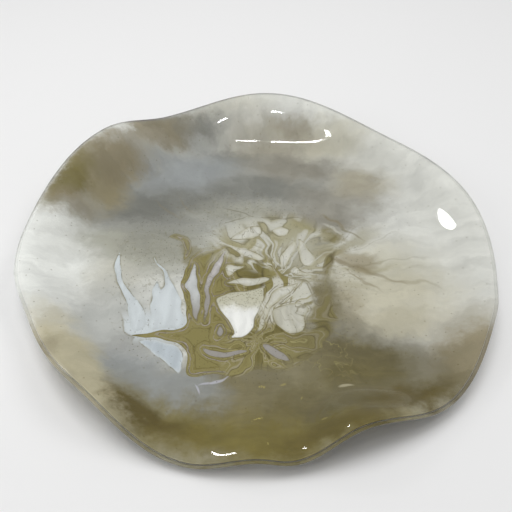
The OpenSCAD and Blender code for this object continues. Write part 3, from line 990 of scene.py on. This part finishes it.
def star_material(field):
    """Olive pour of the star: lines along its edges, lobes at its right, pale veils and leaves above."""
    g = new_material(STAR_RESIN)
    pour = g.use_field(field)
    place = pour["Place"]
    flow = pour["Flow"]
    far = g.attribute("edge")

    # bands along the edges, worn away in places, and drawn-out lobes from the middle to the right
    wander = g.noise(place, scale=0.05, detail=3.0, roughness=0.55)
    reach = g.grown(far, wander, 9.0)
    banded = g.ramped(g.times(g.minus(reach, 3.5), 0.1), FLOW_BANDS)
    worn = g.ranged(g.noise(place, scale=0.085, detail=3.0, roughness=0.6), 0.49, 0.64, to=(0.0, 0.7))
    banded = g.stained(banded, "sage", worn)
    lobe = g.leaf_level(flow, LOBES_AT, turns=2.1, rings=0.9)
    lobes = g.ramped(lobe, STAR_BANDS)
    x, y = g.x_and_y(place)
    lobes = g.stained(lobes, "loden", g.ranged(x, *LOBES_DARKEN, to=(0.0, 0.45)))
    colour = g.mixed(g.ranged(x, *LOBES_FROM), banded, lobes)

    # pale veils beside the heart, and the leaves above
    veil = g.ramped(g.leaf_level(flow, LOBES_AT, turns=4.6, rings=0.5), VEIL_BANDS)
    colour = g.mixed(g.in_cloud(flow, *VEIL_ZONE), colour, veil)
    above = g.in_cloud(flow, *ABOVE_ZONE)
    kept = g.ranged(g.noise(flow, scale=0.05), 0.58, 0.50)
    colour = g.mixed(g.times(above, kept), colour, pour["Leaves"])

    # dark line that follows the edges at a distance
    echo = g.ranged(g.off(g.grown(far, wander, 2.0), 2.6), 0.5, 0.15, to=(0.0, 0.65))
    colour = g.stained(colour, "vein", echo, g.ranged(worn, 0.3, 0.05))

    # loose edges, which fray into the pours round the star, and a line along the edges that hold
    out_right = g.ranged(x, *LOOSE_RIGHT)
    out_front = g.ranged(g.grown(y, x, LOOSE_SLOPE), *LOOSE_FRONT)
    out_back = g.ranged(y, *LOOSE_BACK, to=(0.0, 0.85))
    out_back = g.times(out_back, g.ranged(x, *LOOSE_LEFT, to=(0.55, 1.0)))
    loose = g.math("MAXIMUM", g.math("MAXIMUM", out_right, out_front), out_back)
    frayed = g.grown(g.grown(far, wander, 8.0), lobe, 26.0)
    feather = g.times(g.ranged(frayed, 22.0, 16.0), loose)
    colour = g.mixed(feather, colour, pour["Color"])
    held = g.minus(1.0, loose)
    colour = g.stained(colour, "seam", g.ranged(far, 0.5, 0.1, to=(0.0, 0.5)), held)
    colour = g.stained(colour, "peat", g.dots(place, scale=0.45, radius=0.16, share=0.4), 0.6)
    return g.finish(g.see_through(colour, STAR_DENSITY))


def ground_material(field):
    """Smoky ground of the swirl: pale round the white cells, smeared with olive round the star."""
    g = new_material("smoke_marble")
    pour = g.use_field(field)
    place = pour["Place"]
    grain = g.noise(place, scale=0.11, detail=4.0)
    ragged = g.grown(g.attribute("edge"), grain, 5.0)
    x, y = g.x_and_y(place)
    beside = g.times(g.ranged(x, *SMEAR_X), g.ranged(y, *SMEAR_Y))
    colour = g.stained(pour["Color"], "fern", g.ranged(ragged, 3.6, 1.6, to=(0.0, 0.55)), beside)
    pooled = g.grown(g.attribute("pale"), grain, 4.0)
    low = g.in_cloud(place, *POOL)
    colour = g.stained(colour, "skim", g.ranged(pooled, POOL_REACH, 5.2), low)
    outline = g.ranged(g.off(pooled, POOL_REACH), 0.7, 0.2, to=(0.0, 0.55))
    colour = g.stained(colour, "whey", outline, low)
    thin = g.lines(pour["Flow"], width=0.006, scale=0.06, detail=3.0)
    colour = g.stained(colour, "thread", thin, 0.4)
    colour = g.stained(colour, "grit", g.dots(place, scale=0.3, radius=0.12, share=0.35), 0.75)
    return g.finish(g.see_through(colour, pour["Density"]))


# The dish

field = tint_field("tint_field", CLOUDS, STROKES)
cloudy = pour_material(field)
bonded = bond_material()
clear = clear_material("clear_resin", POLISHED)
sanded = clear_material("sanded_resin", SANDED)
rim = rim_material(field)

turn = np.arange(COLUMNS) * 360.0 / COLUMNS


def lap_rings(d, rows):
    return [sheet(turn, s * lap_start(turn), d) for s in np.linspace(0, 1, rows + 1)]


def build_flood_coat():
    level = COAT_T - HAIR
    top = [floor_ring(turn, u, level) for u in np.linspace(0, 1, FLOOR_ROWS + 1)[1:]]
    top += [sheet(turn, t, level) for t in np.linspace(0, 1, LIP_ROWS + 1)[1:-1]]
    for ring in top:
        fade = np.clip((DISH_R - SWELL_FADE - np.hypot(ring[:, 0], ring[:, 1])) / SWELL_FADE, 0, 1)
        ring[:, 2] += fade * swell(ring)
    round_rim = [nose(turn, b) for b in np.linspace(math.pi / 2, -math.pi / 2, NOSE_ROWS + 1)]
    under = [sheet(turn, 1 - s * LAP_W / lip(turn), 0) for s in UNDER_SHARES]
    bed = lap_rings(POUR_BED, BED_ROWS)[::-1]
    rings = top + round_rim + under + bed
    kinds = [0] * (len(top) - SANDED_ROWS) + [3] * SANDED_ROWS
    kinds += [1] * (len(round_rim) + len(under) - 1) + [2] * len(bed)
    return lofted("flood_coat", rings, kinds, [clear, rim, bonded, sanded])


def build_base_coat():
    under = [floor_ring(turn, u, 0.0) for u in REST_SHARES] + lap_rings(0.0, LIP_ROWS)
    upper = lap_rings(BASE_T, BED_ROWS)[::-1]
    kinds = [0] * (len(under) - 1) + [1] * len(upper)
    rings = under + upper
    return lofted("base_coat", rings, kinds, [clear, bonded], downward=True)


def slot_of(name):
    """Slot of a tinted pour, whose colour its name starts with."""
    return name.split("_")[0] + "_resin"


def build_outer_pour(k):
    name, start, sway = OUTER_POURS[k]
    _, stop, stop_sway = OUTER_POURS[(k + 1) % len(OUTER_POURS)]
    span = (stop - start) % 360
    share = np.linspace(0, 1, span + 1)
    a = start + share * span

    def grid(d):
        rows = []
        for u in np.linspace(0, 1, POUR_FLOOR_ROWS + 1)[:-1]:
            bent = a + (sway * (1 - share) + stop_sway * share) * math.sin(math.pi * u)
            near = around(bent, SWIRL_R, d) + np.array([*SWIRL, 0])
            rows.append(near * (1 - u) + floor_ring(bent, 1.0, d) * u)
        end = lap_start(a) - BOND / lip(a)
        rows += [sheet(a, s * end, d) for s in np.linspace(0, 1, LIP_ROWS + 1)]
        return np.stack(rows)

    return grid_slab(name, grid(POUR_HIGH), grid(POUR_LOW), [cloudy, bonded])


def build_swirl():
    cells = {name: [smooth_outline(o) for o in outlines] for name, outlines in CELLS.items()}
    star = smooth_outline(STAR)
    every = [o for outlines in cells.values() for o in outlines]
    held = inside(np.array([o.mean(0) for o in every]), [star])
    in_star = [o for o, within in zip(every, held) if within]
    on_ground = [o for o, within in zip(every, held) if not within]
    around_swirl = np.radians(np.arange(SWIRL_COLUMNS) * 360 / SWIRL_COLUMNS)
    circle = SWIRL + SWIRL_R * np.stack([np.cos(around_swirl), np.sin(around_swirl)], -1)
    resins = {name: cell_material(name, field, **values) for name, values in CELL_RESINS.items()}
    star_box = (star.min(0), star.max(0))
    star_field = tint_field("star_field", reaching(CLOUDS, *star_box), reaching(STROKES, *star_box))
    olive = star_material(star_field)
    resins[STAR_RESIN] = olive
    pale = [o for name, outlines in cells.items() if name.startswith("white") for o in outlines]
    ground = [ground_material(field), bonded]
    flat_piece("swirl_ground", [star, *on_ground], GROUND_GRID, ground, pale, rim=[circle])
    flat_piece("olive_star", [star, *in_star], STAR_GRID, [olive, bonded], pale)
    for name, outlines in cells.items():
        slot = slot_of(name)
        mats = [resins[CELL_LOOKS.get(name, slot)], bonded]
        flat_piece(name, outlines, STAR_GRID, mats, pale)


build_flood_coat()
build_base_coat()
for k in range(len(OUTER_POURS)):
    build_outer_pour(k)
build_swirl()

# Stage, lamps and camera


def stand(thing, place, look):
    """Object set at a place, looking one way."""
    thing.location = place
    thing.rotation_mode = "QUATERNION"
    thing.rotation_quaternion = look.to_track_quat("-Z", "Y")


def build_floor():
    mesh = bpy.data.meshes.new("floor")
    h = FLOOR_HALF
    corners = [(x, y, FLOOR_DROP) for x, y in ((-h, -h), (h, -h), (h, h), (-h, h))]
    mesh.from_pydata(corners, [], [(0, 1, 2, 3)])
    g = new_material("pale_floor")
    plain = g.add("BsdfPrincipled", {"Base Color": FLOOR_TINT, "Roughness": FLOOR_ROUGH}).outputs[0]
    mesh.materials.append(g.finish(plain))
    floor = new_object("floor", mesh)


def area_light(name, direction, distance, width, depth, power, mirrored):
    """Soft lamp that looks at the dish, and shows in its polish or not."""
    data = bpy.data.lights.new(name, "AREA")
    data.shape = "RECTANGLE"
    data.size = width
    data.size_y = depth
    data.energy = power
    lamp = new_object(name, data)
    lamp.visible_glossy = mirrored
    place = Vector(direction).normalized() * distance
    stand(lamp, place, -place)


def build_camera():
    data = bpy.data.cameras.new("camera")
    data.sensor_fit = "HORIZONTAL"
    data.angle = CAMERA_FIELD
    data.clip_start = CAMERA_NEAR
    data.clip_end = CAMERA_FAR
    camera = new_object("camera", data)
    back = Vector((0, -math.cos(CAMERA_ELEVATION), math.sin(CAMERA_ELEVATION)))
    stand(camera, CAMERA_TARGET + back * CAMERA_DISTANCE, -back)
    scene.camera = camera


def build_world():
    world = bpy.data.worlds.new("studio")
    world.use_nodes = True
    sky = world.node_tree.nodes["Background"].inputs
    sky["Color"].default_value = WHITE
    sky["Strength"].default_value = WORLD_STRENGTH
    scene.world = world


build_floor()
for lamp in LAMPS:
    area_light(*lamp)
build_camera()
build_world()

scene.view_settings.view_transform = "Standard"
scene.cycles.transparent_max_bounces = 32
